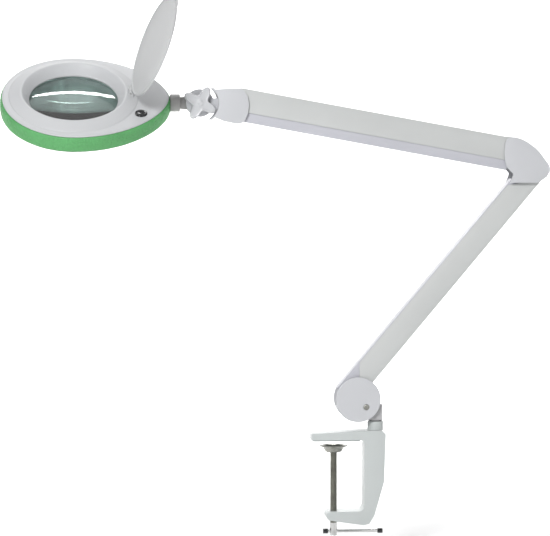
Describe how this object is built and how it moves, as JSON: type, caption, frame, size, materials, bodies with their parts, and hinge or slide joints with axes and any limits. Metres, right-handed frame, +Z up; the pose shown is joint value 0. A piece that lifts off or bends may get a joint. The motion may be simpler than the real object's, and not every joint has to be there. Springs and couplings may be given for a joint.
{
  "type": "magnifying lamp",
  "caption": "Desk-clamp magnifying lamp with spring-balanced parallelogram arms, an egg-shaped ring-light lens head and a hinged lens cover.",
  "frame": {"origin": "on the clamp screw's axis, in the plane of the table top, which is the underside of the jaw liner", "axes": "+Z up, +X from the clamp screw toward the spine, the arms move in the XZ plane"},
  "size_m": [0.7567, 0.2124, 0.7456],
  "materials": {
    "casting": "satin powder coat, pale grey-green",
    "arm_outer": "satin powder coat, light grey",
    "arm_inner": "satin powder coat, cool light grey",
    "bracket": "satin powder coat",
    "cover_plastic": "fine satin moulding",
    "shell_plastic": "soft gloss moulding",
    "knob_plastic": "soft gloss moulding",
    "green_band": "soft moulded band with fine dimples",
    "lens_glass": "polished, faint green",
    "diffuser": "milky",
    "plated_steel": "zinc plated",
    "chrome": "polished",
    "black_plastic": "glossy black",
    "circuit": "solder mask",
    "liner": "thin soft liner",
    "neck_metal": "satin grey"
  },
  "bodies": {
    "clamp": {"clamp_body": "casting", "jaw_liner": "liner", "swivel_bush": "black_plastic"},
    "pad": {"pressure_pad": "plated_steel"},
    "screw": {"clamp_screw": "plated_steel"},
    "tommy": {"tommy_bar": "chrome", "tommy_bar_caps": "black_plastic"},
    "turret": {"base_bracket": "bracket", "swivel_pin": "plated_steel", "base_cover_front": "cover_plastic", "base_cover_rear": "cover_plastic", "base_cover_screws": "plated_steel", "base_pivot_pins": "plated_steel"},
    "lower_outer": {"lower_outer_channel": "arm_outer", "lower_spring": "plated_steel"},
    "lower_inner": {"lower_inner_channel": "arm_inner", "lower_spring_post": "plated_steel"},
    "elbow": {"elbow_bracket": "bracket", "elbow_cover_front": "cover_plastic", "elbow_cover_rear": "cover_plastic", "elbow_cover_screws": "plated_steel", "elbow_pivot_pins": "plated_steel"},
    "upper_outer": {"upper_outer_channel": "arm_outer", "upper_spring": "plated_steel"},
    "upper_inner": {"upper_inner_channel": "arm_inner", "upper_spring_post": "plated_steel"},
    "head_carrier": {"head_bracket": "bracket", "head_cover_front": "cover_plastic", "head_cover_rear": "cover_plastic", "head_cover_screws": "plated_steel", "head_pivot_pins": "plated_steel", "tilt_fork": "cover_plastic", "lock_nut": "plated_steel"},
    "knob": {"star_knob": "knob_plastic", "tilt_bolt": "plated_steel"},
    "neck": {"neck_tongue": "neck_metal", "friction_washers": "black_plastic", "neck_collar": "neck_metal"},
    "head": {"neck_socket": "shell_plastic", "top_shell": "shell_plastic", "bottom_shell": "shell_plastic", "lens_tube": "shell_plastic", "side_band": "green_band", "lens": "lens_glass", "lens_ring": "shell_plastic", "led_board": "diffuser", "leds": "diffuser", "diffuser_ring": "diffuser", "driver_board": "circuit", "shell_screws": "plated_steel", "switch_bezel": "black_plastic", "lid_hinge_bracket": "shell_plastic", "lid_hinge_pin": "plated_steel"},
    "switch": {"switch_button": "black_plastic"},
    "lid": {"lens_cover": "shell_plastic"}
  },
  "joints": [
    {"name": "pad_lift", "type": "slide", "parent": "clamp", "child": "pad", "axis": [0, 0, 1], "range_m": [-0.07, 0.002]},
    {"name": "screw_turn", "type": "hinge", "parent": "pad", "child": "screw", "pos_m": [0, 0, -0.07], "axis": [0, 0, 1], "range_deg": [-16850, 500]},
    {"name": "tommy_slide", "type": "slide", "parent": "screw", "child": "tommy", "axis": [1, 0, 0], "range_m": [-0.05, 0.002]},
    {"name": "base_swivel", "type": "hinge", "parent": "clamp", "child": "turret", "pos_m": [0.058, 0, 0.03], "axis": [0, 0, 1], "range_deg": [-170, 170]},
    {"name": "lower_arm", "type": "hinge", "parent": "turret", "child": "lower_outer", "pos_m": [0.027, 0, 0.0626], "axis": [0, -1, 0], "range_deg": [-25, 45]},
    {"name": "lower_inner_swing", "type": "hinge", "parent": "turret", "child": "lower_inner", "pos_m": [0.01551, 0, 0.07224], "axis": [0, -1, 0], "range_deg": [-25.5, 45.5]},
    {"name": "elbow_level", "type": "hinge", "parent": "lower_outer", "child": "elbow", "pos_m": [0.28412, 0, 0.36902], "axis": [0, -1, 0], "range_deg": [-45.5, 25.5]},
    {"name": "upper_arm", "type": "hinge", "parent": "elbow", "child": "upper_outer", "pos_m": [0.25942, 0, 0.40832], "axis": [0, -1, 0], "range_deg": [-45, 25]},
    {"name": "upper_inner_swing", "type": "hinge", "parent": "elbow", "child": "upper_inner", "pos_m": [0.25942, 0, 0.38032], "axis": [0, -1, 0], "range_deg": [-45.5, 25.5]},
    {"name": "head_level", "type": "hinge", "parent": "upper_outer", "child": "head_carrier", "pos_m": [-0.13401, 0, 0.48052], "axis": [0, -1, 0], "range_deg": [-25.5, 45.5]},
    {"name": "knob_turn", "type": "hinge", "parent": "head_carrier", "child": "knob", "pos_m": [-0.18551, 0, 0.46703], "axis": [0, -1, 0], "range_deg": [-180, 180]},
    {"name": "head_tilt", "type": "hinge", "parent": "head_carrier", "child": "neck", "pos_m": [-0.18551, 0, 0.46703], "axis": [0, -1, 0], "range_deg": [-60, 60]},
    {"name": "head_roll", "type": "hinge", "parent": "neck", "child": "head", "pos_m": [-0.21951, 0, 0.46703], "axis": [1, 0, 0], "range_deg": [-100, 60]},
    {"name": "switch_press", "type": "slide", "parent": "head", "child": "switch", "axis": [0, 0.5446, -0.8387], "range_m": [0, 0.0015], "stiffness_N_per_m": 900, "springref_m": -0.0008},
    {"name": "lid_swing", "type": "hinge", "parent": "head", "child": "lid", "pos_m": [-0.28051, -0.01144, 0.48464], "axis": [0, 0.8387, 0.5446], "range_deg": [-112.5, 6]}
  ],
  "couplings": [
    {"joint": "screw_turn", "follows": "pad_lift", "rad_per_m": 4188.8},
    {"joint": "lower_inner_swing", "follows": "lower_arm", "ratio": 1},
    {"joint": "elbow_level", "follows": "lower_arm", "ratio": -1},
    {"joint": "upper_inner_swing", "follows": "upper_arm", "ratio": 1},
    {"joint": "head_level", "follows": "upper_arm", "ratio": -1}
  ]
}
